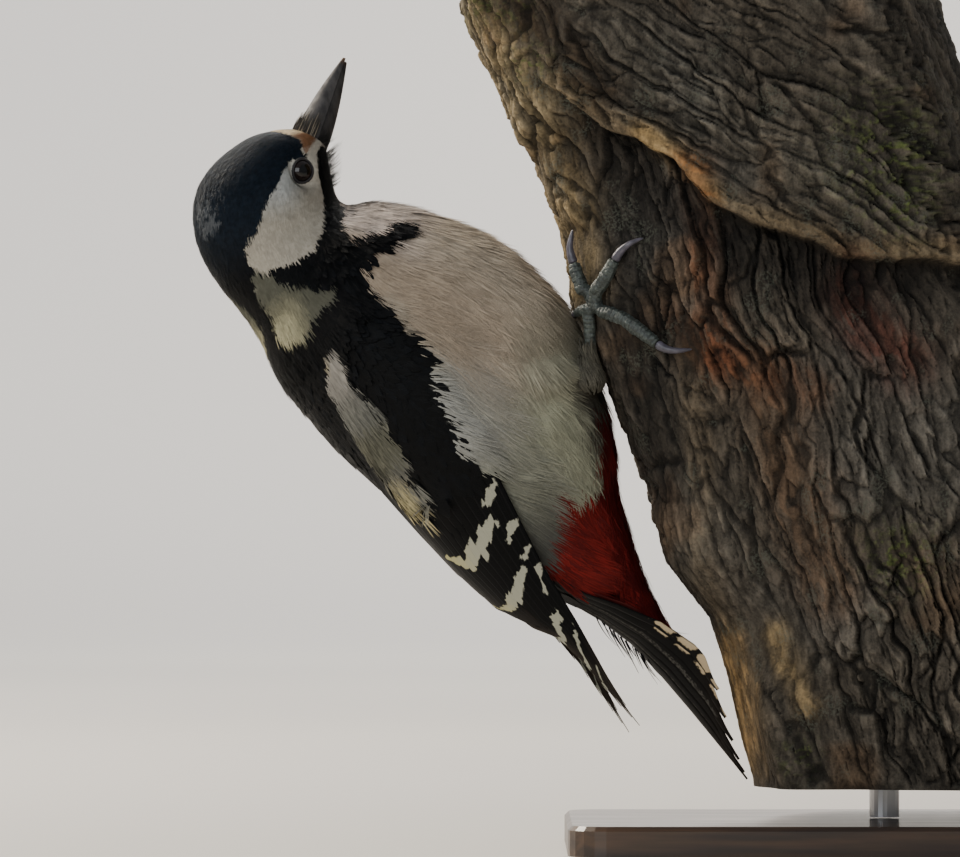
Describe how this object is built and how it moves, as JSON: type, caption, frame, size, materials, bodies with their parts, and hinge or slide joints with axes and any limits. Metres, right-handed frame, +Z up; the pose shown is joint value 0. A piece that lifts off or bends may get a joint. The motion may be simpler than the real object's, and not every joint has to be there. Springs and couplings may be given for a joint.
{
  "type": "great spotted woodpecker",
  "caption": "Life-size great spotted woodpecker clinging to a cut length of rough trunk, head turned away, tail braced, on a plain display stand.",
  "frame": {"origin": "middle of the base's underside, on the surface it stands on", "axes": "+Z up, +X from the bird towards the trunk, +Y away from the bird's right side, so that the bird's right side faces -Y"},
  "size_m": [0.2735, 0.1165, 0.234],
  "materials": {
    "black_plumage": "satin blue-black feathers",
    "belly_plumage": "soft buff-white feathers, red under the tail",
    "bill_horn": "dark slate horn with a soft sheen",
    "eye": "wet, glossy, dark red-brown",
    "leg_skin": "dull grey-green scaly skin",
    "claw_horn": "smooth violet-grey horn",
    "bark": "rough fissured bark with sawn ends",
    "stand_wood": "dark stained wood, satin varnish",
    "stand_steel": "brushed"
  },
  "bodies": {
    "root": {"bill_lower": "bill_horn", "bill_upper": "bill_horn", "claw_1_left": "claw_horn", "claw_1_right": "claw_horn", "claw_2_left": "claw_horn", "claw_2_right": "claw_horn", "claw_3_left": "claw_horn", "claw_3_right": "claw_horn", "claw_4_left": "claw_horn", "claw_4_right": "claw_horn", "eye_left": "eye", "eye_right": "eye", "head": "black_plumage", "neck": "black_plumage", "perch_trunk": "bark", "stand_base": "stand_wood", "stand_rod_1": "stand_steel", "stand_rod_2": "stand_steel", "tail": "black_plumage", "tarsus_left": "leg_skin", "tarsus_right": "leg_skin", "thigh_left": "belly_plumage", "thigh_right": "belly_plumage", "toe_1_left": "leg_skin", "toe_1_right": "leg_skin", "toe_2_left": "leg_skin", "toe_2_right": "leg_skin", "toe_3_left": "leg_skin", "toe_3_right": "leg_skin", "toe_4_left": "leg_skin", "toe_4_right": "leg_skin", "torso": "belly_plumage", "wing_left": "black_plumage", "wing_right": "black_plumage"}
  },
  "joints": []
}
